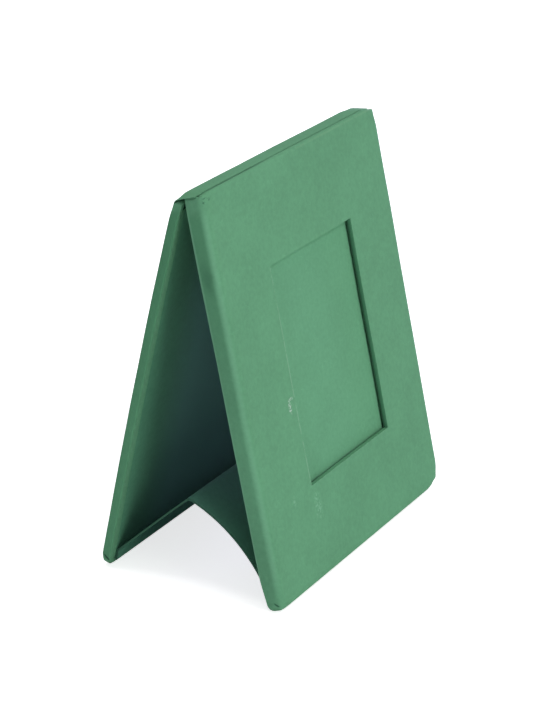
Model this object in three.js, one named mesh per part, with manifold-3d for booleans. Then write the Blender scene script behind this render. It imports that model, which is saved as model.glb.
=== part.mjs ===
// Standing photo frame of greyboard panels covered in green paper.
// A thick front panel with a window leans against a thinner stand panel. One cover sheet runs
// over the spine and down the stand, and a folded gusset joins the two feet inside the tent.
// Millimetres, +Z up, +X to the viewer's right, the window faces -Y.
// The origin is on the floor, at the middle of the footprint.
import * as THREE from "three";
import { mergeVertices } from "three/addons/utils/BufferGeometryUtils.js";
import Module from "manifold-3d";

const wasm = await Module();
wasm.setup();

// Sheet goods
const PAPER = 0.25; // covering paper
const GLUE = 0.05; // glue line between any two layers
const CARD = 0.5; // gusset card
const WINDOW_BOARD = 0.9;
const BACKING_BOARD = 3.3;
const STAND_BOARD = 2.4;
const SLOT = 0.7; // free thickness that the print slides into

// Panels
const WIDTH = 108;
const FRONT_HEIGHT = 124.4;
const FRONT_LEAN = THREE.MathUtils.degToRad(14.1);
const STAND_LEAN = THREE.MathUtils.degToRad(10.75);
const HINGE_DROP = 1.75; // the stand's top edge lies this far below the front panel's
const HINGE_GAP = 0.8; // free space between the two panels at the hinge
const FRONT_ROLL = 2.2; // radius of the soft edge round the front face
const FRONT_TOP_ROLL = 1.2; // the same, along the top
const INNER_ROLL = 0.5; // of the edges that look into the tent
const FOOT_BEVEL_HEIGHT = 12; // the front panel thins towards its foot on the inner side
const FOOT_BEVEL_DEPTH = 1.4;
const FOOT_ROLL = 1;
const STAND_ROLL = 0.9;
const STAND_CAP = 2.4; // radius where the cover comes down from the spine
const LOWER_CORNER = 2.4; // radii of the panels' corners, seen from the front
const UPPER_CORNER = 1.5;
const TURN_IN = 12; // paper folded onto a panel's inner side
const MITRE_SLIT = 0.2; // open line between two turn-ins that meet at a corner

// Window and photo slot
const WINDOW_WIDTH = 51.2;
const WINDOW_HEIGHT = 67.2;
const WINDOW_SHIFT_UP = 0; // of the window's middle above the panel's middle
const WINDOW_FLAP = 8; // paper turned through the window onto the board's back
const SPACER_WIDTH = 14;
const SLOT_FLAP = 6; // paper turned down into the mouth of the slot

// Inner papers and gusset
const LINER_MARGIN = 3; // bare border round the liners and the gusset
const LINER_TOP_DROP = 4; // the liners stop this far below the stand's top edge
const HINGE_LEG = 13; // length of the hinge strip on each panel
const GUSSET_FRONT = 37.5; // from the front foot fold to the middle fold
const GUSSET_REAR = 33.4; // from the middle fold to the stand's foot fold
const GUSSET_BOW = 3.4; // rise of the front half above its straight line
const GUSSET_FLAP = 3.4; // glued part below each foot fold
const FRONT_FOLD_HEIGHT = 4; // of the foot folds, along their panels
const STAND_FOLD_HEIGHT = 5.4;
const FOOT_FOLD_RADIUS = 0.9;
const RIDGE_RADIUS = 2.4;

const SURFACE_TOLERANCE = 5e-3; // faces closer to flat than this are joined
const WELD_TOLERANCE = 1e-5; // corners closer than this are one

const GREEN = 0x649c78;
const INNER_GREEN = 0x5a9070;
const GREYBOARD = 0x9a948a;

// Depths of the layers behind the front face, and of the stand behind its outer face
const windowBoardFront = PAPER + GLUE;
const windowBoardBack = windowBoardFront + WINDOW_BOARD;
const windowFlapBack = windowBoardBack + GLUE + PAPER;
const liningFront = windowFlapBack + SLOT;
const backingFront = liningFront + PAPER + GLUE;
const backingBack = backingFront + BACKING_BOARD;
const FRONT_THICKNESS = backingBack + GLUE + PAPER;
const STAND_THICKNESS = PAPER + GLUE + STAND_BOARD + GLUE + PAPER;

// Panel frames: local y = 0 is the panel's inner face, which looks into the tent, local z = 0 is
// its foot. The front panel's body lies at y < 0 and the stand's at y > 0.
const sharpTop = FRONT_HEIGHT * Math.cos(FRONT_LEAN);
const STAND_HEIGHT = (sharpTop - HINGE_DROP) / Math.cos(STAND_LEAN);
const standTopY = (sharpTop - HINGE_DROP) * Math.tan(FRONT_LEAN) + HINGE_GAP / Math.cos(FRONT_LEAN);
const standFootY = standTopY + STAND_HEIGHT * Math.sin(STAND_LEAN);
const linerTop = STAND_HEIGHT - LINER_TOP_DROP;
const bevelAt = (z) => -FOOT_BEVEL_DEPTH * Math.max(0, 1 - z / FOOT_BEVEL_HEIGHT);

// The arc that rounds a corner between two neighbours, or the corner itself for no radius.
function arcAt(before, corner, after, radius, steps) {
  const into = corner.clone().sub(before).normalize();
  const out = after.clone().sub(corner).normalize();
  const turn = Math.atan2(into.cross(out), into.dot(out));
  if (radius <= 0 || Math.abs(turn) < 1e-6) return [corner.clone()];
  const start = corner.clone().addScaledVector(into, -radius * Math.tan(Math.abs(turn) / 2));
  const side = new THREE.Vector2(-into.y, into.x).multiplyScalar(Math.sign(turn) * radius);
  const centre = start.clone().add(side);
  const arc = [];
  for (let i = 0; i <= steps; i++) {
    arc.push(start.clone().rotateAround(centre, (turn * i) / steps));
  }
  return arc;
}

// A path with its inner corners rounded, each by its own radius.
function roundCorners(corners, radii, steps = 5) {
  const inner = corners.slice(1, -1).flatMap((corner, i) =>
    arcAt(corners[i], corner, corners[i + 2], radii[i], steps),
  );
  return [corners[0], ...inner, corners[corners.length - 1]];
}

// A point moved to the left of the two lines that meet there.
function moveLeft(before, point, after, distance) {
  const into = point.clone().sub(before).normalize();
  const out = after.clone().sub(point).normalize();
  const a = new THREE.Vector2(-into.y, into.x);
  const mitre = new THREE.Vector2(-out.y, out.x).add(a).normalize();
  return point.clone().addScaledVector(mitre, distance / mitre.dot(a));
}

// A convex outline with rounded corners [x, y, radius], drawn this far inside its own line.
function outline(corners, inset, steps = 8) {
  const count = corners.length;
  const points = corners.map(([x, y]) => new THREE.Vector2(x, y));
  const moved = points.map((point, i) =>
    moveLeft(points[(i + count - 1) % count], point, points[(i + 1) % count], inset),
  );
  const rounded = moved.flatMap((point, i) => {
    const radius = corners[i][2] > inset ? corners[i][2] - inset : 0;
    return arcAt(moved[(i + count - 1) % count], point, moved[(i + 1) % count], radius, steps);
  });
  return new THREE.Shape(rounded);
}

// The panels' three views, with a radius at each corner
const halfWidth = WIDTH / 2;
const seenFrom = (height) => [
  [-halfWidth, 0, LOWER_CORNER], [halfWidth, 0, LOWER_CORNER],
  [halfWidth, height, UPPER_CORNER], [-halfWidth, height, UPPER_CORNER],
];
const frontViews = {
  height: FRONT_HEIGHT,
  y0: -FRONT_THICKNESS,
  y1: 0,
  front: seenFrom(FRONT_HEIGHT),
  side: [
    [-FRONT_THICKNESS, 0, FRONT_ROLL], [-FOOT_BEVEL_DEPTH, 0, FOOT_ROLL],
    [0, FOOT_BEVEL_HEIGHT, 2 * FOOT_BEVEL_HEIGHT], [0, FRONT_HEIGHT, INNER_ROLL],
    [-FRONT_THICKNESS, FRONT_HEIGHT, FRONT_TOP_ROLL],
  ],
  plan: [
    [-halfWidth, -FRONT_THICKNESS, FRONT_ROLL], [halfWidth, -FRONT_THICKNESS, FRONT_ROLL],
    [halfWidth, 0, INNER_ROLL], [-halfWidth, 0, INNER_ROLL],
  ],
};
const standViews = {
  height: STAND_HEIGHT,
  y0: 0,
  y1: STAND_THICKNESS,
  front: seenFrom(STAND_HEIGHT),
  side: [
    [0, 0, STAND_ROLL], [STAND_THICKNESS, 0, STAND_ROLL],
    [STAND_THICKNESS, STAND_HEIGHT, STAND_CAP], [0, STAND_HEIGHT, INNER_ROLL],
  ],
  plan: [
    [-halfWidth, 0, INNER_ROLL], [halfWidth, 0, INNER_ROLL],
    [halfWidth, STAND_THICKNESS, STAND_ROLL], [-halfWidth, STAND_THICKNESS, STAND_ROLL],
  ],
};

// Height of a leaning panel's lowest point above the origin of its frame.
function footRise(views, turn) {
  const heights = outline(views.side, 0).getPoints()
    .map((p) => p.x * Math.sin(turn) + p.y * Math.cos(turn));
  return Math.min(...heights);
}

const frontPanel = new THREE.Group();
frontPanel.rotation.x = -FRONT_LEAN;
frontPanel.position.set(0, 0, -footRise(frontViews, -FRONT_LEAN));
const standPanel = new THREE.Group();
standPanel.rotation.x = STAND_LEAN;
standPanel.position.set(0, standFootY, -footRise(standViews, STAND_LEAN));
const folds = new THREE.Group(); // sheets that cross from one panel to the other
[frontPanel, standPanel, folds].forEach((group) => group.updateMatrix());

// A point of a panel's frame, given as its local y and z, in the plane of the tent's section.
const inSection = (group, y, z) => {
  const p = new THREE.Vector3(0, y, z).applyMatrix4(group.matrix);
  return new THREE.Vector2(p.y, p.z);
};
const onFront = (y, z) => inSection(frontPanel, y, z);
const onStand = (y, z) => inSection(standPanel, y, z);

// Solids
function solidOf(geometry) {
  const bare = geometry.index ? geometry.toNonIndexed() : geometry.clone();
  bare.deleteAttribute("normal");
  bare.deleteAttribute("uv");
  const merged = mergeVertices(bare, WELD_TOLERANCE);
  return new wasm.Manifold(
    new wasm.Mesh({
      numProp: 3,
      vertProperties: merged.attributes.position.array,
      triVerts: new Uint32Array(merged.index.array),
    }),
  );
}

function geometryOf(solid) {
  const mesh = solid.simplify(SURFACE_TOLERANCE).getMesh();
  const geometry = new THREE.BufferGeometry();
  geometry.setAttribute("position", new THREE.BufferAttribute(mesh.vertProperties, 3));
  geometry.setIndex(new THREE.BufferAttribute(mesh.triVerts, 1));
  const flat = geometry.toNonIndexed();
  flat.computeVertexNormals();
  return flat;
}

const cut = (body, ...tools) => tools.reduce((left, tool) => left.subtract(tool), body);
const join = (body, ...others) => others.reduce((sum, other) => sum.add(other), body);

// A box between two corners.
function block(x0, x1, y0, y1, z0, z1) {
  const box = new THREE.BoxGeometry(x1 - x0, y1 - y0, z1 - z0);
  return box.translate((x0 + x1) / 2, (y0 + y1) / 2, (z0 + z1) / 2);
}

// A prism that runs along X through a section of the tent, given in y and z.
function acrossWidth(section, width) {
  const prism = new THREE.ExtrudeGeometry(section, { depth: width, bevelEnabled: false });
  const turn = new THREE.Matrix4().makeBasis(
    new THREE.Vector3(0, 1, 0),
    new THREE.Vector3(0, 0, 1),
    new THREE.Vector3(1, 0, 0),
  );
  return prism.applyMatrix4(turn).translate(-width / 2, 0, 0);
}

// A prism that runs along Y from y0 to y1 through an outline seen from the front.
function alongY(shape, y0, y1) {
  const plate = new THREE.ExtrudeGeometry(shape, { depth: y1 - y0, bevelEnabled: false });
  return plate.rotateX(Math.PI / 2).translate(0, y1, 0);
}

// A prism that runs along Z through a plan.
function alongZ(plan, z0, z1) {
  const column = new THREE.ExtrudeGeometry(plan, { depth: z1 - z0, bevelEnabled: false });
  return column.translate(0, 0, z0);
}

// A panel's whole body, this far inside its surface: what its front, side and plan views share.
function panelBody(views, inset) {
  const { height, y0, y1 } = views;
  const seen = alongY(outline(views.front, inset), y0 - PAPER, y1 + PAPER);
  const side = acrossWidth(outline(views.side, inset), 2 * WIDTH);
  const plan = alongZ(outline(views.plan, inset), -height, 2 * height);
  return solidOf(seen).intersect(solidOf(side)).intersect(solidOf(plan));
}

// The section of a sheet of even thickness that lies on the right-hand side of a path.
function sheetSection(path, thickness) {
  const last = path.length - 1;
  const away = path.map((point, i) => {
    const before = i > 0 ? path[i - 1] : point.clone().multiplyScalar(2).sub(path[1]);
    const after = i < last ? path[i + 1] : point.clone().multiplyScalar(2).sub(path[last - 1]);
    return moveLeft(before, point, after, -thickness);
  });
  return new THREE.Shape([...path, ...away.reverse()]);
}

// A four-sided flap in the plane of a panel, from y0 to y1, given by its corners [x, z].
function flap(corners, y0, y1) {
  return alongY(new THREE.Shape(corners.map(([x, z]) => new THREE.Vector2(x, z))), y0, y1);
}

// A slit along the diagonal of a lower corner, where two turned-in edges meet.
function mitreSlit(side, reach, y0, y1) {
  const slit = block(-MITRE_SLIT / 2, MITRE_SLIT / 2, y0, y1, 0, reach * Math.SQRT2);
  return slit.rotateY((-side * Math.PI) / 4).translate((side * WIDTH) / 2, 0, 0);
}

const finishes = {
  coverPaper: new THREE.MeshStandardMaterial({ color: GREEN, roughness: 0.92, metalness: 0 }),
  innerPaper: new THREE.MeshStandardMaterial({ color: INNER_GREEN, roughness: 0.95, metalness: 0 }),
  greyboard: new THREE.MeshStandardMaterial({ color: GREYBOARD, roughness: 0.95, metalness: 0 }),
};

function addPiece(group, name, solid, finish) {
  const piece = new THREE.Mesh(geometryOf(solid), finish);
  piece.name = name;
  group.add(piece);
}

// Local y of a depth behind the front face.
const atDepth = (depth) => depth - FRONT_THICKNESS;
const boardInset = PAPER + GLUE;
const boardHalf = WIDTH / 2 - boardInset;
const windowMiddle = FRONT_HEIGHT / 2 + WINDOW_SHIFT_UP;
const windowLow = windowMiddle - WINDOW_HEIGHT / 2;
const windowHigh = windowMiddle + WINDOW_HEIGHT / 2;

// A flat board or strip of the front panel between two depths.
function frontBoard(x0, x1, depth0, depth1, z0, z1) {
  return solidOf(block(x0, x1, atDepth(depth0), atDepth(depth1), z0, z1));
}

// The space inside the front cover, which trims the boards to its rounded edges.
const frontCore = panelBody(frontViews, boardInset);

function windowBoard() {
  const board = frontBoard(
    -boardHalf, boardHalf, windowBoardFront, windowBoardBack,
    boardInset, FRONT_HEIGHT - boardInset,
  );
  const opening = WINDOW_WIDTH / 2 + boardInset;
  const hole = frontBoard(
    -opening, opening, 0, FRONT_THICKNESS, windowLow - boardInset, windowHigh + boardInset,
  );
  return cut(board.intersect(frontCore), hole);
}

function backingBoard() {
  const board = frontBoard(
    -boardHalf, boardHalf, backingFront, backingBack, boardInset, FRONT_HEIGHT - boardInset,
  );
  return board.intersect(frontCore);
}

// Strips that hold the window board off the backing and leave the slot for the print.
function sideSpacer(side) {
  const inner = boardHalf - SPACER_WIDTH;
  const [x0, x1] = side > 0 ? [inner, boardHalf] : [-boardHalf, -inner];
  const top = FRONT_HEIGHT - 2 * boardInset;
  const strip = frontBoard(
    x0, x1, windowBoardBack + GLUE, liningFront - GLUE, boardInset, top,
  );
  return strip.intersect(frontCore);
}

function bottomSpacer() {
  const half = boardHalf - SPACER_WIDTH - GLUE;
  const strip = frontBoard(
    -half, half, windowBoardBack + GLUE, liningFront - GLUE, boardInset, boardInset + SPACER_WIDTH,
  );
  return strip.intersect(frontCore);
}

// The green sheet on the backing board that shows through the window.
function slotLining() {
  const top = FRONT_HEIGHT - SLOT_FLAP - 2 * boardInset;
  const sheet = frontBoard(
    -boardHalf, boardHalf, liningFront, liningFront + PAPER, boardInset, top,
  );
  return sheet.intersect(frontCore);
}

// One sheet over the front face, through the window, round three edges and onto the inner side.
function frontCover() {
  const openBack = solidOf(
    block(
      -WIDTH / 2 + TURN_IN, WIDTH / 2 - TURN_IN, -2 * PAPER, PAPER, TURN_IN, FRONT_HEIGHT + PAPER,
    ),
  );
  // The spine sheet covers the top edge from the slot's mouth back to the hinge.
  const aboveSlot = solidOf(
    block(
      -WIDTH, WIDTH, atDepth(windowFlapBack), PAPER,
      FRONT_HEIGHT - boardInset, FRONT_HEIGHT + PAPER,
    ),
  );
  const hole = solidOf(
    block(
      -WINDOW_WIDTH / 2, WINDOW_WIDTH / 2, atDepth(-PAPER), atDepth(windowFlapBack + GLUE),
      windowLow, windowHigh,
    ),
  );
  const slits = [-1, 1].map((side) =>
    solidOf(mitreSlit(side, TURN_IN + PAPER, -FOOT_BEVEL_DEPTH - 2 * PAPER, PAPER)),
  );
  const skin = cut(panelBody(frontViews, 0), panelBody(frontViews, PAPER));
  return cut(join(skin, windowReturn(), topFlap()), hole, openBack, aboveSlot, ...slits);
}

// The sheet's walls through the window and its four mitred flaps on the window board's back.
function windowReturn() {
  const x = WINDOW_WIDTH / 2;
  const far = WINDOW_FLAP;
  const gap = MITRE_SLIT / 2;
  const wall = block(
    -x - PAPER, x + PAPER, atDepth(PAPER / 2), atDepth(windowFlapBack),
    windowLow - PAPER, windowHigh + PAPER,
  );
  const y0 = atDepth(windowBoardBack + GLUE);
  const y1 = atDepth(windowFlapBack);
  const below = [
    [-x - far + gap, windowLow - far], [x + far - gap, windowLow - far],
    [x, windowLow + gap], [-x, windowLow + gap],
  ];
  const above = below.map(([px, pz]) => [px, 2 * windowMiddle - pz]).reverse();
  const right = [
    [x - gap, windowLow], [x + far, windowLow - far + gap],
    [x + far, windowHigh + far - gap], [x - gap, windowHigh],
  ];
  const left = right.map(([px, pz]) => [-px, pz]).reverse();
  const flaps = [below, above, right, left].map((corners) => solidOf(flap(corners, y0, y1)));
  return join(solidOf(wall), ...flaps);
}

// The sheet's fold over the window board's top edge, turned down behind it.
function topFlap() {
  const inner = boardHalf - SPACER_WIDTH - GLUE;
  const down = block(
    -inner, inner, atDepth(windowBoardBack + GLUE), atDepth(windowFlapBack),
    FRONT_HEIGHT - SLOT_FLAP, FRONT_HEIGHT - boardInset + PAPER / 2,
  );
  const over = block(
    -inner, inner, atDepth(FRONT_TOP_ROLL), atDepth(windowFlapBack),
    FRONT_HEIGHT - PAPER, FRONT_HEIGHT,
  );
  return join(solidOf(down), solidOf(over));
}

// One sheet from the slot's mouth over the spine and down the stand's outer face, with its side
// and bottom edges folded round the board and onto the inner side. Built in the stand's frame.
function standCover() {
  const toStand = standPanel.matrix.clone().invert();
  const local = (v) => {
    const p = new THREE.Vector3(0, v.x, v.y).applyMatrix4(toStand);
    return new THREE.Vector2(p.y, p.z);
  };
  const openFront = solidOf(
    block(
      -WIDTH / 2 + TURN_IN, WIDTH / 2 - TURN_IN, -PAPER, 2 * PAPER, TURN_IN, STAND_HEIGHT + PAPER,
    ),
  );
  // Between its wrapped sides, the sheet's upper end is the spine.
  const topCut = STAND_HEIGHT - STAND_CAP - STAND_ROLL;
  const betweenSides = WIDTH / 2 - UPPER_CORNER - PAPER;
  const openTop = solidOf(
    block(
      -betweenSides, betweenSides, -PAPER, STAND_THICKNESS + PAPER, topCut, STAND_HEIGHT + PAPER,
    ),
  );
  const slits = [-1, 1].map((side) =>
    solidOf(mitreSlit(side, TURN_IN + PAPER, -PAPER, 2 * PAPER)),
  );
  const skin = cut(panelBody(standViews, 0), panelBody(standViews, PAPER));
  return join(cut(skin, openFront, openTop, ...slits), spine(local, topCut - PAPER));
}

// The cover sheet between the slot's mouth and the stand: a tongue glued down in the slot, the
// spine itself, and the bend onto the stand's outer face. Its ends follow the stand's edges.
function spine(local, lowEnd) {
  const mouth = atDepth(liningFront);
  const mouthTop = local(onFront(mouth, FRONT_HEIGHT));
  const hinge = local(onFront(0, FRONT_HEIGHT));
  const tongue = roundCorners(
    [local(onFront(mouth, FRONT_HEIGHT - SLOT_FLAP)), mouthTop, hinge],
    [boardInset],
  );
  const back = roundCorners(
    [
      local(onFront(mouth + boardInset, FRONT_HEIGHT)),
      hinge,
      new THREE.Vector2(STAND_THICKNESS, STAND_HEIGHT),
      new THREE.Vector2(STAND_THICKNESS, lowEnd),
    ],
    [STAND_ROLL, STAND_CAP],
  );
  const edges = outline(
    [
      [-halfWidth, -WIDTH, 0], [halfWidth, -WIDTH, 0],
      [halfWidth, STAND_THICKNESS, STAND_ROLL], [-halfWidth, STAND_THICKNESS, STAND_ROLL],
    ],
    0,
  );
  const trim = solidOf(alongZ(edges, 0, 2 * STAND_HEIGHT));
  const wide = solidOf(acrossWidth(sheetSection(back, PAPER), WIDTH)).intersect(trim);
  const tongueWidth = 2 * (boardHalf - UPPER_CORNER);
  return join(wide, solidOf(acrossWidth(sheetSection(tongue, PAPER), tongueWidth)));
}

function standBoard() {
  return panelBody(standViews, boardInset);
}

// A liner sheet on the front panel's inner face, bent over the bevel of its foot.
function frontLiner() {
  const path = [
    new THREE.Vector2(GLUE, linerTop),
    new THREE.Vector2(GLUE, FOOT_BEVEL_HEIGHT + LINER_MARGIN),
    new THREE.Vector2(GLUE, FOOT_BEVEL_HEIGHT),
    new THREE.Vector2(GLUE + bevelAt(LINER_MARGIN), LINER_MARGIN),
  ];
  return solidOf(acrossWidth(sheetSection(path, -PAPER), WIDTH - 2 * LINER_MARGIN));
}

function standLiner() {
  const half = WIDTH / 2 - LINER_MARGIN;
  return solidOf(block(-half, half, -GLUE - PAPER, -GLUE, LINER_MARGIN, linerTop));
}

// A strip folded over the hinge, glued to both panels at the level of their turn-ins.
function hingeStrip() {
  const half = WIDTH / 2 - TURN_IN - GLUE;
  const path = roundCorners(
    [
      onFront(-PAPER, FRONT_HEIGHT - HINGE_LEG),
      onFront(-PAPER, FRONT_HEIGHT - 5 * PAPER),
      onStand(PAPER, STAND_HEIGHT - PAPER),
      onStand(PAPER, STAND_HEIGHT - HINGE_LEG),
    ],
    [PAPER, PAPER],
    3,
  );
  return solidOf(acrossWidth(sheetSection(path, PAPER), 2 * half));
}

// The point above a base line that lies at two given distances from its ends.
function apexOver(left, right, leftReach, rightReach) {
  const base = right.clone().sub(left);
  const span = base.length();
  const along = (span ** 2 + leftReach ** 2 - rightReach ** 2) / (2 * span);
  const rise = Math.sqrt(leftReach ** 2 - along ** 2);
  const unit = base.normalize();
  return left.clone()
    .addScaledVector(unit, along)
    .addScaledVector(new THREE.Vector2(-unit.y, unit.x), rise);
}

// One card strip: glued to the front panel's foot, bowed up to its middle fold, and straight down
// to the stand's foot. It folds up flat between the panels when the frame is closed.
function gusset() {
  const lift = 2 * GLUE + PAPER;
  const flapEnd = FRONT_FOLD_HEIGHT - GUSSET_FLAP;
  const frontFold = onFront(lift + bevelAt(FRONT_FOLD_HEIGHT), FRONT_FOLD_HEIGHT);
  const standFold = onStand(-lift, STAND_FOLD_HEIGHT);
  const frontChord = GUSSET_FRONT - (8 * GUSSET_BOW ** 2) / (3 * GUSSET_FRONT);
  const ridge = apexOver(frontFold, standFold, frontChord, GUSSET_REAR);
  const chord = ridge.clone().sub(frontFold);
  const upward = new THREE.Vector2(-chord.y, chord.x).setLength(2 * GUSSET_BOW);
  const middle = frontFold.clone().add(ridge).multiplyScalar(0.5).add(upward);
  const bow = new THREE.QuadraticBezierCurve(frontFold, middle, ridge).getPoints(14);
  const rear = roundCorners(
    [bow[bow.length - 3], ridge, standFold, onStand(-lift, STAND_FOLD_HEIGHT - GUSSET_FLAP)],
    [RIDGE_RADIUS, FOOT_FOLD_RADIUS],
  );
  const frontEnd = [onFront(lift + bevelAt(flapEnd), flapEnd), frontFold];
  const path = [...frontEnd, ...bow.slice(1, -3), ...rear];
  return solidOf(acrossWidth(sheetSection(path, CARD), WIDTH - 2 * LINER_MARGIN));
}

addPiece(frontPanel, "window_board", windowBoard(), finishes.greyboard);
addPiece(frontPanel, "slot_spacer_left", sideSpacer(-1), finishes.greyboard);
addPiece(frontPanel, "slot_spacer_right", sideSpacer(1), finishes.greyboard);
addPiece(frontPanel, "slot_spacer_bottom", bottomSpacer(), finishes.greyboard);
addPiece(frontPanel, "backing_board", backingBoard(), finishes.greyboard);
addPiece(frontPanel, "slot_lining", slotLining(), finishes.coverPaper);
addPiece(frontPanel, "front_cover", frontCover(), finishes.coverPaper);
addPiece(frontPanel, "front_liner", frontLiner(), finishes.innerPaper);
addPiece(standPanel, "stand_board", standBoard(), finishes.greyboard);
addPiece(standPanel, "stand_cover", standCover(), finishes.coverPaper);
addPiece(standPanel, "stand_liner", standLiner(), finishes.innerPaper);
addPiece(folds, "hinge_strip", hingeStrip(), finishes.innerPaper);
addPiece(folds, "gusset", gusset(), finishes.innerPaper);

const photoFrame = new THREE.Group();
photoFrame.name = "photo_frame";
photoFrame.add(frontPanel, standPanel, folds);
const box = new THREE.Box3().setFromObject(photoFrame, true);
photoFrame.position.set(0, -(box.min.y + box.max.y) / 2, -box.min.z);

export default photoFrame;
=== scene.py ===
"""Standing photo frame of greyboard wrapped in green handmade paper, dressed around its CAD frame.

Metres, +Z up, +X to the viewer's right, the window faces -Y. Every piece of the frame is a finer
copy of its CAD mesh. All copies are moved by one and the same small field, so the layers of paper
and board that lie on one another follow each other through every dent and bow.
"""

import math

import bmesh
import bpy
from mathutils import Matrix, Vector, noise


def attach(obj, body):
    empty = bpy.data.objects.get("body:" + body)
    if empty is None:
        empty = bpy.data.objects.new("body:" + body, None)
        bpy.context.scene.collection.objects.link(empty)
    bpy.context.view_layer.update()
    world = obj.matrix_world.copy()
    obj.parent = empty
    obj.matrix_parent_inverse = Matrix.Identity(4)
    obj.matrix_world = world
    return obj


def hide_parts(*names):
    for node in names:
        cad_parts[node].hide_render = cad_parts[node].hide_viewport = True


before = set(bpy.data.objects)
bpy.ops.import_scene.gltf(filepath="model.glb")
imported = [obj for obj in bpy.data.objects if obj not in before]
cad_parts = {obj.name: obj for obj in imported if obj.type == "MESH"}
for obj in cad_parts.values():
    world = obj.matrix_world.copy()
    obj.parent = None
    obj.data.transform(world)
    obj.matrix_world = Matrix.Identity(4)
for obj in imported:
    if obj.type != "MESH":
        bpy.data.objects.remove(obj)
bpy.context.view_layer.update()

MM = 0.001

# Camera, as the photograph was taken: place in metres, and the directions of its picture
CAMERA_PLACE = Vector((-0.640574, -0.330327, 0.342663))
CAMERA_RIGHT = Vector((0.474493, -0.879644, 0.032910))
CAMERA_UP = Vector((0.312599, 0.203335, 0.927867))
CAMERA_FORWARD = Vector((0.822884, 0.429979, -0.371457))
CAMERA_LENS = 128.67
CAMERA_SENSOR = 36.0

# The panels' frames: local y = 0 is the inner face, local z = 0 the foot
FRONT_LEAN = math.radians(14.1)
STAND_LEAN = math.radians(10.75)
FRONT_FOOT = Vector((0, -25.308, -0.530)) * MM
STAND_FOOT = Vector((0, 27.957, -0.152)) * MM
PANEL_HEIGHT = 124.4 * MM
BEVEL_HEIGHT = 12 * MM
BEVEL_DEPTH = 1.4 * MM

# Where wear and marks lie, in millimetres in a panel's frame
SIDE = 54
TOP = 124.4
FRONT_FACE = -6.1
WINDOW_SIDE = 25.9
WINDOW_MIDDLE = 62
WINDOW_HALF_HEIGHT = 34.8


def linear(hex_colour):
    """An sRGB hex colour as linear RGBA."""
    parts = [int(hex_colour[i:i + 2], 16) / 255 for i in (0, 2, 4)]
    return [c / 12.92 if c <= 0.04045 else ((c + 0.055) / 1.055) ** 2.4 for c in parts] + [1.0]


def add_node(tree, kind, links=None, **settings):
    """A node with its settings, and with sockets set to values or linked to other sockets."""
    node = tree.nodes.new(kind)
    for name, value in settings.items():
        setattr(node, name, value)
    for name, value in (links or {}).items():
        if isinstance(value, bpy.types.NodeSocket):
            tree.links.new(value, node.inputs[name])
        else:
            node.inputs[name].default_value = value
    return node


def new_material(name):
    material = bpy.data.materials.new(name)
    material.use_nodes = True
    material.node_tree.nodes.clear()
    return material, material.node_tree


def camera():
    data = bpy.data.cameras.new("camera")
    data.lens = CAMERA_LENS
    data.sensor_width = CAMERA_SENSOR
    data.clip_start = 0.01
    turn = Matrix((CAMERA_RIGHT, CAMERA_UP, -CAMERA_FORWARD)).transposed().to_4x4()
    eye = bpy.data.objects.new("camera", data)
    eye.matrix_world = Matrix.Translation(CAMERA_PLACE) @ turn
    bpy.context.scene.collection.objects.link(eye)
    bpy.context.scene.camera = eye


# Shapes

FRONT_TO_WORLD = Matrix.Translation(FRONT_FOOT) @ Matrix.Rotation(-FRONT_LEAN, 4, "X")
STAND_TO_WORLD = Matrix.Translation(STAND_FOOT) @ Matrix.Rotation(STAND_LEAN, 4, "X")
FRONT_OUTWARD = FRONT_TO_WORLD.to_3x3() @ Vector((0, -1, 0))
STAND_OUTWARD = STAND_TO_WORLD.to_3x3() @ Vector((0, 1, 0))

# Worn corners: place in a panel's frame, pull into the body, and reach, in millimetres
WORN_CORNERS = [
    (FRONT_TO_WORLD, (SIDE, -6, 0), (-1.5, 0.2, 1.3), 8),
    (FRONT_TO_WORLD, (SIDE, -5, TOP), (-0.9, 0, -0.9), 7),
    (FRONT_TO_WORLD, (-SIDE, -5, TOP), (0.6, 0.3, -0.5), 6),
    (FRONT_TO_WORLD, (-SIDE, -6, 0), (0.5, 0.3, 0.2), 5),
    (STAND_TO_WORLD, (SIDE, 3, 121), (-0.6, 0, -0.5), 8),
    (STAND_TO_WORLD, (-SIDE, 3, 121), (0.9, 0, -1.1), 7),
    (STAND_TO_WORLD, (-SIDE, 3, 0), (0.8, -0.4, 0.5), 4),
    (STAND_TO_WORLD, (-SIDE, 0, 0), (0.9, 0.2, 0.7), 3),
    (STAND_TO_WORLD, (SIDE, 3, 0), (-0.9, -0.3, 0.8), 6),
]
TENT_BLEND = 8 * MM
STAND_BOW = 0.7 * MM
WAVINESS = 0.16 * MM
WAVE_LENGTH = 34 * MM
COCKLE = 0.035 * MM
COCKLE_LENGTH = 7 * MM
FLOOR_HOLD = 12 * MM
TOP_HOLD = 1.06
TOP_HOLD_BLEND = 0.1
FOOT_REACH = 5 * MM

# Where the slot's mouth gapes at the top of the front, in millimetres in the front's frame
MOUTH_GAPE = 0.15
MOUTH_LOW = 112
MOUTH_MIDDLE = -34
MOUTH_REACH = 22
MOUTH_DEPTH = -3.9
MOUTH_BLEND = 0.7

# Liners' sides pressed down, and the angles at which copies are merged flat and kept sharp
PRESSED_WIDTH = 0.3 * MM
PRESSED_SHARE = 0.8
FLAT_ANGLE = math.radians(0.4)
SHARP_ANGLE = math.radians(32)


def smooth_falloff(share):
    """1 at the middle, 0 from the reach outwards."""
    return 0.0 if share >= 1 else (1 - share * share) ** 2


def rounded_foot(point, to_world, middle, height, share):
    """The pull that rounds the wrapped paper under a panel's foot, towards the middle of its thickness."""
    local = to_world.inverted() @ point
    if local.z > height or abs(local.y - middle) > FOOT_REACH:
        return Vector((0, 0, 0))
    pull = share * (1 - max(0.0, local.z) / height) ** 2
    return to_world.to_3x3() @ Vector((0, (middle - local.y) * pull, 0))


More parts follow.
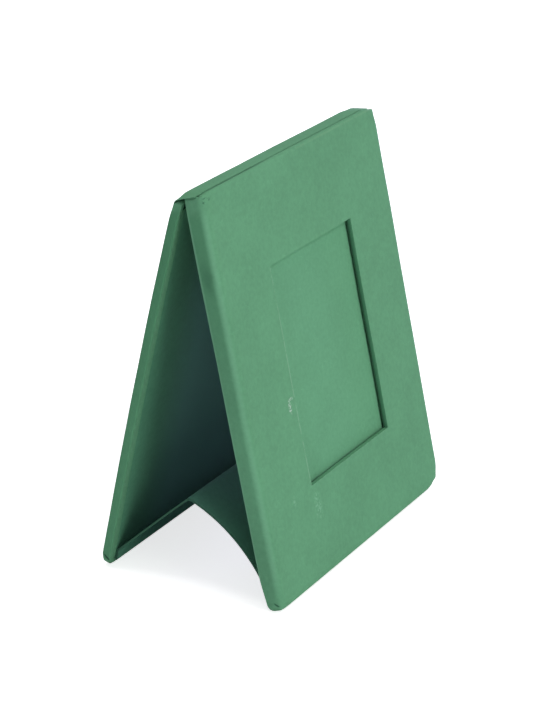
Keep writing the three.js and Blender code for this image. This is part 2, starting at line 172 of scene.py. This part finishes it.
def worn_shift(point):
    """How far handling, glue and damp have moved a point of the frame."""
    height = point.z / PANEL_HEIGHT
    towards_stand = min(1.0, max(0.0, (point.y + TENT_BLEND) / (2 * TENT_BLEND)))
    bow = 4 * height * (1 - height) * STAND_BOW * towards_stand
    shift = STAND_OUTWARD * max(0.0, bow)
    # The floor and the glued top stay put
    held = min(1.0, max(0.0, point.z / FLOOR_HOLD))
    held *= min(1.0, max(0.0, TOP_HOLD - height) / TOP_HOLD_BLEND)
    wave = noise.noise(point / WAVE_LENGTH) * WAVINESS + noise.noise(point / COCKLE_LENGTH) * COCKLE
    outward = FRONT_OUTWARD.lerp(STAND_OUTWARD, towards_stand)
    shift += outward * wave * held
    for to_world, place, pull, reach in WORN_CORNERS:
        corner = to_world @ (Vector(place) * MM)
        share = (point - corner).length / (reach * MM)
        if share < 1:
            shift += (to_world.to_3x3() @ Vector(pull)) * MM * smooth_falloff(share)
    local = FRONT_TO_WORLD.inverted() @ point / MM
    if local.z > MOUTH_LOW:
        in_front = min(1.0, max(0.0, (MOUTH_DEPTH - local.y) / MOUTH_BLEND))
        near = smooth_falloff(abs(local.x - MOUTH_MIDDLE) / MOUTH_REACH)
        rise = (local.z - MOUTH_LOW) / (TOP - MOUTH_LOW)
        shift += FRONT_OUTWARD * (MOUTH_GAPE * MM * in_front * near * rise)
    shift += rounded_foot(point, FRONT_TO_WORLD, middle=-3.8 * MM, height=2.6 * MM, share=0.34)
    shift += rounded_foot(point, STAND_TO_WORLD, middle=1.5 * MM, height=1.8 * MM, share=0.3)
    return shift


def pressed_edges(bm, to_world, bevel):
    """Rub a liner's sides down onto the paper below, so that they show no step."""
    to_panel = to_world.inverted()
    half = max(v.co.x for v in bm.verts)
    for vertex in bm.verts:
        place = to_panel @ vertex.co
        if half - abs(place.x) < PRESSED_WIDTH:
            panel_face = -bevel * max(0.0, 1 - place.z / BEVEL_HEIGHT)
            vertex.co -= to_world.to_3x3() @ Vector((0, (place.y - panel_face) * PRESSED_SHARE, 0))


def grid_cuts(bm, normal, start, stop, step):
    """Cut a mesh along evenly spaced planes."""
    count = max(1, round((stop - start) / step))
    for i in range(1, count):
        place = normal * (start + (stop - start) * i / count)
        geometry = bm.verts[:] + bm.edges[:] + bm.faces[:]
        bmesh.ops.bisect_plane(bm, geom=geometry, dist=1e-7, plane_co=place, plane_no=normal)


def finer_copy(node, to_world, step, liner_bevel=None):
    """A copy of a CAD mesh with a grid of faces across its panel, worn, smooth where it is rolled."""
    mesh = bpy.data.objects[node].data.copy()
    mesh.name = node + "_worn"
    bm = bmesh.new()
    bm.from_mesh(mesh)
    bmesh.ops.remove_doubles(bm, verts=bm.verts, dist=1e-6)
    bmesh.ops.dissolve_limit(bm, angle_limit=FLAT_ANGLE, verts=bm.verts, edges=bm.edges)
    up = to_world.to_3x3() @ Vector((0, 0, 1))
    low = min(v.co.dot(up) for v in bm.verts)
    high = max(v.co.dot(up) for v in bm.verts)
    grid_cuts(bm, Vector((1, 0, 0)), min(v.co.x for v in bm.verts), max(v.co.x for v in bm.verts), step)
    grid_cuts(bm, up, low, high, step)
    bmesh.ops.triangulate(bm, faces=[f for f in bm.faces if len(f.verts) > 4])
    if liner_bevel is not None:
        pressed_edges(bm, to_world, liner_bevel)
    for vertex in bm.verts:
        vertex.co += worn_shift(vertex.co)
    for face in bm.faces:
        face.smooth = True
    for edge in bm.edges:
        sharp = len(edge.link_faces) != 2 or edge.calc_face_angle(0) > SHARP_ANGLE
        edge.smooth = not sharp
    bm.to_mesh(mesh)
    bm.free()
    piece = bpy.data.objects.new(node + "_piece", mesh)
    bpy.context.scene.collection.objects.link(piece)
    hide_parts(node)
    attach(piece, "root")
    return piece


# Materials

COVER_GREEN = "639d77"
INNER_GREEN = "548d6e"
CARD_GREEN = "4c8268"
LINING_GREEN = "66a27c"
DARK_PULP = "857f76"
LIGHT_PULP = "a8a297"
DYED_PULP = "2c5440"


def panel_place(tree, foot, lean):
    """Where a point lies in a panel's frame, in metres."""
    place = add_node(tree, "ShaderNodeTexCoord").outputs["Object"]
    return add_node(tree, "ShaderNodeMapping",
                    {"Vector": place, "Location": foot, "Rotation": (lean, 0, 0)},
                    vector_type="TEXTURE").outputs[0]


def math_of(tree, operation, first, second=0.0):
    return add_node(tree, "ShaderNodeMath", {0: first, 1: second}, operation=operation).outputs[0]


def ramp(tree, value, low, high, to_low=0.0, to_high=1.0):
    """A value moved smoothly from one range to another."""
    return add_node(tree, "ShaderNodeMapRange",
                    {"Value": value, "From Min": low, "From Max": high,
                     "To Min": to_low, "To Max": to_high},
                    interpolation_type="SMOOTHSTEP").outputs[0]


def mixed(tree, share, first, second):
    """Two colours mixed by a share."""
    node = add_node(tree, "ShaderNodeMix", data_type="RGBA")
    for index, value in ((0, share), (6, first), (7, second)):
        if isinstance(value, bpy.types.NodeSocket):
            tree.links.new(value, node.inputs[index])
        else:
            node.inputs[index].default_value = value
    return node.outputs[2]


def spots(tree, vector, size, detail=2.0, roughness=0.5):
    return add_node(tree, "ShaderNodeTexNoise",
                    {"Vector": vector, "Scale": 1 / size, "Detail": detail, "Roughness": roughness}
                    ).outputs["Fac"]


def blot(tree, place, middle, radii, turn=0.0, edge=0.5, ragged=0.0, grain=1.0):
    """1 inside an ellipsoid in millimetres, turned about X in degrees, with a soft or ragged edge."""
    scaled = add_node(tree, "ShaderNodeMapping",
                      {"Vector": place, "Location": Vector(middle) * MM,
                       "Rotation": (math.radians(turn), 0, 0), "Scale": Vector(radii) * MM},
                      vector_type="TEXTURE").outputs[0]
    distance = add_node(tree, "ShaderNodeVectorMath", {0: scaled}, operation="LENGTH").outputs["Value"]
    if ragged:
        rough = math_of(tree, "SUBTRACT", spots(tree, place, grain * MM, 3), 0.5)
        distance = math_of(tree, "ADD", distance, math_of(tree, "MULTIPLY", rough, ragged))
    return ramp(tree, distance, 1.0, 1.0 - edge)


def wisps(tree, place, size, low=0.5, high=0.62):
    """Broken threads of a rubbed surface."""
    return ramp(tree, spots(tree, place, size * MM, 3, 0.6), low, high)


def all_of(tree, *masks):
    share = masks[0]
    for mask in masks[1:]:
        share = math_of(tree, "MULTIPLY", share, mask)
    return share


def either(tree, *masks):
    share = masks[0]
    for mask in masks[1:]:
        share = math_of(tree, "MAXIMUM", share, mask)
    return share


def parts_of(tree, place):
    """A place's x, y and z in millimetres."""
    split = add_node(tree, "ShaderNodeSeparateXYZ", {0: place})
    return [math_of(tree, "MULTIPLY", output, 1000.0) for output in split.outputs]


def off(tree, value, middle):
    """How far a value is from another, on either side."""
    return math_of(tree, "ABSOLUTE", math_of(tree, "SUBTRACT", value, middle))


# Marks that the photograph shows, each a share from 0 to 1 over a panel

def painted_side_shade(tree, place):
    """The wrapped sides, with painted shade that makes them duller than the faces."""
    x, _, z = parts_of(tree, place)
    side = ramp(tree, off(tree, x, 0.0), SIDE - 0.8, SIDE - 0.1)
    return all_of(tree, side, ramp(tree, z, 121, 117))


def painted_top_shade_on_sides(tree, place):
    """Painted shade that darkens the wrapped sides towards the top, away from the light thrown up by the
    floor.
    """
    _, y, z = parts_of(tree, place)
    return all_of(tree, painted_side_shade(tree, place), ramp(tree, z, 45, 112), ramp(tree, y, -5.4, -3.6))


def painted_edge_highlights(tree, place):
    """Painted highlights along the front's long edges: the rolled edge by the face and the rim at the
    back.
    """
    x, y, z = parts_of(tree, place)
    out = off(tree, x, 0.0)
    rolled = all_of(tree, ramp(tree, out, SIDE - 1.7, SIDE - 0.3), ramp(tree, y, -3.6, -5.6), 0.5)
    rim = all_of(tree, ramp(tree, out, SIDE - 0.7, SIDE - 0.2), ramp(tree, y, -0.8, -0.3))
    return all_of(tree, either(tree, rolled, rim), ramp(tree, z, 3, 14), ramp(tree, z, 122, 116))


def window_walls(tree, place):
    """The window's two side walls, without their depth."""
    x, _, z = parts_of(tree, place)
    out = off(tree, x, 0.0)
    wall = all_of(tree, ramp(tree, out, WINDOW_SIDE, WINDOW_SIDE - 0.2),
                  ramp(tree, out, WINDOW_SIDE - 0.6, WINDOW_SIDE - 0.4))
    tall = ramp(tree, off(tree, z, WINDOW_MIDDLE), WINDOW_HALF_HEIGHT, WINDOW_HALF_HEIGHT - 0.4)
    return all_of(tree, wall, tall)


def painted_reveal_shade(tree, place):
    """Painted shade on the paper turned through the window, where its side walls lie in the recess."""
    depth = parts_of(tree, place)[1]
    return all_of(tree, window_walls(tree, place), ramp(tree, depth, -6.0, -5.6))


def painted_slot_shade(tree, place):
    """Painted shade at the back of the window's side walls, where the slot is dark."""
    depth = parts_of(tree, place)[1]
    return all_of(tree, window_walls(tree, place), ramp(tree, depth, -5.4, -4.7))


def worn_lip_and_highlight(tree, place):
    """A light line along the window's left edge, broken, stronger lower down: partly wear, partly a
    painted highlight on the fold.
    """
    x, y, z = parts_of(tree, place)
    line = ramp(tree, off(tree, x, 0.05 - WINDOW_SIDE), 0.34, 0.1)
    length = all_of(tree, ramp(tree, z, 28.4, 30), ramp(tree, z, 96, 60, 0.65, 1.0), ramp(tree, z, 96, 95))
    return all_of(tree, line, length, ramp(tree, y, -5.5, -5.9), wisps(tree, place, 1.8, 0.36, 0.56))


def scuffs(tree, place):
    """A white scuff beside the window."""
    upright = blot(tree, place, (-29.2, FRONT_FACE, 54.3), (1.1, 1, 2.7), ragged=0.9)
    hook = blot(tree, place, (-27.9, FRONT_FACE, 56.3), (1.7, 1, 0.6), ragged=0.9)
    return all_of(tree, either(tree, upright, hook), wisps(tree, place, 0.6, 0.44, 0.58))


def faint_scuffs(tree, place):
    """Paler green wisps below the window's corner."""
    wide = blot(tree, place, (-24.2, FRONT_FACE, 22), (3.2, 1, 6), ragged=1.0)
    narrow = blot(tree, place, (-36.8, FRONT_FACE, 27.8), (1.2, 1, 2.6), ragged=1.0)
    return all_of(tree, either(tree, wide, narrow), wisps(tree, place, 1.0, 0.48, 0.64))


def dark_spots_and_slit_shade(tree, place):
    """A darker patch on the left side, specks at the upper corner, and painted shade in the tucked
    corner's slit.
    """
    patch = blot(tree, place, (-SIDE, -2.6, 100), (3, 2.6, 7), edge=0.9, ragged=0.9, grain=3)
    patch = all_of(tree, patch, 0.4)
    specks = all_of(tree, blot(tree, place, (-52.5, -6, 122.4), (2.6, 1.2, 1.3), ragged=1.0),
                    wisps(tree, place, 0.8, 0.52, 0.6))
    slit = blot(tree, place, (-SIDE, -4.2, 2.4), (1.2, 1.4, 0.4), turn=43)
    return either(tree, patch, specks, slit)


def painted_slot_mouth_shade(tree, place):
    """The slot's mouth gapes at its left end; painted shade draws it as a dark line along the top edge."""
    x, y, z = parts_of(tree, place)
    along = all_of(tree, ramp(tree, x, -52, -47), ramp(tree, x, -12, -24))
    return all_of(tree, along, ramp(tree, y, -5.4, -5.0), ramp(tree, z, 123.4, 123.9))


def painted_fold_highlight(tree, place):
    """A painted highlight along the top fold of the front, towards its right end."""
    x, y, z = parts_of(tree, place)
    return all_of(tree, ramp(tree, off(tree, z, 123.75), 0.45, 0.1), ramp(tree, x, -12, 10),
                  ramp(tree, y, -5.0, -5.4), wisps(tree, place, 2.5, 0.3, 0.55))


def painted_stand_slit_shade(tree, place):
    """Painted shade in the slit where the paper is tucked in at the stand's lower left corner."""
    return blot(tree, place, (-SIDE, 1.15, 3.4), (1.2, 1.6, 0.45), turn=33)


def painted_deep_fill_light(tree, place):
    """Painted bluish fill light: away from the tent's open sides the lining is lighter and bluer."""
    return ramp(tree, off(tree, parts_of(tree, place)[0], 0.0), 43, 20)


def card_edges(tree, place):
    """The gusset's cut edges, darker than its faces."""
    return ramp(tree, off(tree, parts_of(tree, place)[0], 0.0), 50.7, 50.95)


def handmade_paper(name, colour, lean=-FRONT_LEAN, foot=FRONT_FOOT, marks=()):
    """Matt dyed paper: cloudy dye, pulp grain, short fibres, and marks (mask maker, colour, share)."""
    material, tree = new_material(name)
    place = panel_place(tree, foot, lean)
    base = linear(colour)
    # Dye took unevenly: clouds of about 16 mm and specks of about 1.3 mm
    clouds = spots(tree, place, 16 * MM, 3)
    specks = spots(tree, place, 1.3 * MM, 4, 0.65)
    tone = math_of(tree, "ADD", ramp(tree, clouds, 0.3, 0.7, -0.035, 0.035),
                   ramp(tree, specks, 0.25, 0.75, -0.06, 0.06))
    # Pulp fibres are 0.05 mm thick and are drawn 0.25 mm thick, so that they show at all
    bent = add_node(tree, "ShaderNodeTexNoise",
                    {"Vector": place, "Scale": 1 / (5 * MM), "Detail": 2.0}).outputs["Color"]
    pushed = add_node(tree, "ShaderNodeVectorMath",
                      {0: bent, 1: (4 * MM, 4 * MM, 4 * MM), 2: place},
                      operation="MULTIPLY_ADD").outputs[0]
    cells = add_node(tree, "ShaderNodeTexVoronoi", {"Vector": pushed, "Scale": 1 / (4.2 * MM)},
                     feature="DISTANCE_TO_EDGE").outputs["Distance"]
    lines = ramp(tree, cells, 0.045, 0.0)
    broken = math_of(tree, "MULTIPLY", lines, ramp(tree, spots(tree, place, 2.4 * MM, 2), 0.5, 0.62))
    tone = math_of(tree, "ADD", tone, math_of(tree, "MULTIPLY", broken, 0.07))
    brightness = math_of(tree, "ADD", tone, 1.0)
    colour_out = add_node(tree, "ShaderNodeVectorMath",
                          {0: base[:3], "Scale": brightness}, operation="SCALE").outputs[0]
    for mark, mark_colour, share in marks:
        mask = math_of(tree, "MULTIPLY", mark(tree, place), share)
        colour_out = mixed(tree, mask, colour_out, linear(mark_colour))
    grain = math_of(tree, "ADD", spots(tree, place, 0.8 * MM, 4, 0.6),
                    math_of(tree, "MULTIPLY", broken, 0.35))
    bump = add_node(tree, "ShaderNodeBump",
                    {"Height": grain, "Strength": 0.35, "Distance": 0.09 * MM}).outputs[0]
    bsdf = add_node(tree, "ShaderNodeBsdfPrincipled",
                    {"Base Color": colour_out, "Roughness": 0.93, "Specular IOR Level": 0.18,
                     "Normal": bump})
    add_node(tree, "ShaderNodeOutputMaterial", {"Surface": bsdf.outputs["BSDF"]})
    return material


def greyboard(name):
    """Raw bookbinders' board: grey pulp with flecks, seen only where pieces are taken apart."""
    material, tree = new_material(name)
    place = add_node(tree, "ShaderNodeTexCoord").outputs["Object"]
    flecks = ramp(tree, spots(tree, place, 0.9 * MM, 4, 0.7), 0.3, 0.7)
    colour = mixed(tree, flecks, linear(DARK_PULP), linear(LIGHT_PULP))
    # The boards' top ends are dyed, so that no raw speck shows at the end of the hinge
    dyed = ramp(tree, parts_of(tree, place)[2], 112, 115)
    colour = mixed(tree, dyed, colour, linear(DYED_PULP))
    bump = add_node(tree, "ShaderNodeBump",
                    {"Height": flecks, "Strength": 0.3, "Distance": 0.1 * MM}).outputs[0]
    bsdf = add_node(tree, "ShaderNodeBsdfPrincipled",
                    {"Base Color": colour, "Roughness": 0.95, "Specular IOR Level": 0.15,
                     "Normal": bump})
    add_node(tree, "ShaderNodeOutputMaterial", {"Surface": bsdf.outputs["BSDF"]})
    return material


# Surroundings

MIDDLE = (0, 0, 0.06)
WORLD_LIGHT = 0.2
FLOOR_COLOUR = "f2f2f0"
# The floor's own share of white, near the frame where shadows fall, and the reach of its change
FLOOR_LIFT = 0.72
LIT_REACH = 0.2
WHITE_REACH = 1.2


def studio():
    """Pale floor that takes a soft shadow, white surroundings."""
    world = bpy.data.worlds.new("studio")
    world.use_nodes = True
    bpy.context.scene.world = world
    tree = world.node_tree
    tree.nodes.clear()
    path = add_node(tree, "ShaderNodeLightPath")
    seen = math_of(tree, "MAXIMUM", path.outputs["Is Camera Ray"], path.outputs["Is Glossy Ray"])
    seen = math_of(tree, "MAXIMUM", seen, path.outputs["Is Transmission Ray"])
    strength = add_node(tree, "ShaderNodeMapRange",
                        {"Value": seen, "To Min": WORLD_LIGHT, "To Max": 1.0}).outputs[0]
    sky = add_node(tree, "ShaderNodeBackground", {"Color": (1, 1, 1, 1), "Strength": strength})
    add_node(tree, "ShaderNodeOutputWorld", {"Surface": sky.outputs[0]})

    bpy.ops.mesh.primitive_plane_add(size=6)
    floor = bpy.context.object
    floor.name = "floor"
    material, tree = new_material("pale_floor")
    path = add_node(tree, "ShaderNodeLightPath")
    place = add_node(tree, "ShaderNodeTexCoord").outputs["Object"]
    away = add_node(tree, "ShaderNodeVectorMath", {0: place}, operation="LENGTH").outputs["Value"]
    # The floor turns white away from the frame, where the lamps don't reach
    share = ramp(tree, away, LIT_REACH, WHITE_REACH, FLOOR_LIFT, 1.0)
    lift = math_of(tree, "MULTIPLY", path.outputs["Is Camera Ray"], share)
    white = add_node(tree, "ShaderNodeEmission", {"Color": (1, 1, 1, 1), "Strength": lift})
    matte = add_node(tree, "ShaderNodeBsdfDiffuse", {"Color": linear(FLOOR_COLOUR)})
    both = add_node(tree, "ShaderNodeAddShader", {0: matte.outputs[0], 1: white.outputs[0]})
    add_node(tree, "ShaderNodeOutputMaterial", {"Surface": both.outputs[0]})
    floor.data.materials.append(material)


def lamp(name, place, target, size, power, colour=(1, 1, 1)):
    data = bpy.data.lights.new(name, "AREA")
    data.shape = "DISK"
    data.size = size
    data.energy = power
    data.color = colour
    light = bpy.data.objects.new(name, data)
    light.location = place
    light.rotation_euler = (Vector(target) - Vector(place)).to_track_quat("-Z", "Y").to_euler()
    bpy.context.scene.collection.objects.link(light)


camera()
studio()
lamp("key", (-0.16, -0.8, 0.27), MIDDLE, 0.5, 2.65)
lamp("upper_key", (0.0, -0.85, 1.15), MIDDLE, 0.2, 2.5)
lamp("overhead", (0.0, 0.3, 1.3), MIDDLE, 0.8, 6.6)
lamp("low_side", (-0.8, -0.16, 0.16), (0, 0.01, 0.05), 0.2, 0.76, (0.9, 0.95, 1.2))
lamp("far_side", (1.2, 0.02, 0.12), MIDDLE, 0.5, 6.8, (1.2, 1.0, 1.9))

# On the front, painted shade darkens the wrapped sides towards the top, the window's side walls, the
# slot's mouth and the tucked corner's slit; painted highlights lighten the rolled edges, the back rims,
# the top fold and partly the window's left lip.
front_marks = (
    (painted_top_shade_on_sides, "4b8660", 0.5), (painted_reveal_shade, "447659", 0.75), (painted_slot_shade, "20442f", 0.7),
    (painted_slot_mouth_shade, "2c5440", 0.5), (worn_lip_and_highlight, "94bfa2", 0.42), (painted_fold_highlight, "93b08c", 0.12),
    (painted_edge_highlights, "8fc9a6", 0.35), (dark_spots_and_slit_shade, "2c5440", 0.8), (scuffs, "c3d6c9", 0.65),
    (faint_scuffs, "86bd9b", 0.6),
)
# On the stand, painted shade darkens the wrapped sides, more towards the top, and fills the tucked
# corner's slit.
stand_marks = ((painted_side_shade, "4b8660", 0.5), (painted_top_shade_on_sides, "4b8660", 0.5), (painted_stand_slit_shade, "244637", 0.9))
green = handmade_paper("green_handmade_paper", COVER_GREEN, marks=front_marks)
lining_green = handmade_paper("green_slot_paper", LINING_GREEN)
stand_green = handmade_paper("green_handmade_paper_of_stand", COVER_GREEN, STAND_LEAN, STAND_FOOT,
                             stand_marks)
# The lining carries painted bluish fill light away from the tent's open sides.
inner_green = handmade_paper("green_lining_paper", INNER_GREEN, STAND_LEAN, STAND_FOOT,
                             ((painted_deep_fill_light, "6c9f93", 0.8),))
card_green = handmade_paper("green_gusset_card", CARD_GREEN, STAND_LEAN, STAND_FOOT,
                            ((card_edges, "2f5442", 0.85),))
raw_board = greyboard("greyboard")

# Each CAD node with the panel whose grid it follows, the grid's step and its material
PIECES = {
    "front_cover": (FRONT_TO_WORLD, 2.0, green, "cover_paper"),
    "slot_lining": (FRONT_TO_WORLD, 3.0, lining_green, "cover_paper"),
    "window_board": (FRONT_TO_WORLD, 5.0, raw_board, "greyboard"),
    "slot_spacer_left": (FRONT_TO_WORLD, 5.0, raw_board, "greyboard"),
    "slot_spacer_right": (FRONT_TO_WORLD, 5.0, raw_board, "greyboard"),
    "slot_spacer_bottom": (FRONT_TO_WORLD, 5.0, raw_board, "greyboard"),
    "backing_board": (FRONT_TO_WORLD, 5.0, raw_board, "greyboard"),
    "front_liner": (FRONT_TO_WORLD, 3.0, inner_green, "inner_paper"),
    "stand_board": (STAND_TO_WORLD, 5.0, raw_board, "greyboard"),
    "stand_cover": (STAND_TO_WORLD, 2.0, stand_green, "cover_paper"),
    "stand_liner": (STAND_TO_WORLD, 2.5, inner_green, "inner_paper"),
    "hinge_strip": (STAND_TO_WORLD, 3.0, inner_green, "inner_paper"),
    "gusset": (STAND_TO_WORLD, 2.0, card_green, "inner_paper"),
}
LINER_BEVELS = {"front_liner": BEVEL_DEPTH, "stand_liner": 0.0}
for node, (to_world, step, material, slot) in PIECES.items():
    piece = finer_copy(node, to_world, step * MM, LINER_BEVELS.get(node))
    piece.data.materials.clear()
    piece.data.materials.append(material)

bpy.context.scene.view_settings.view_transform = "Standard"
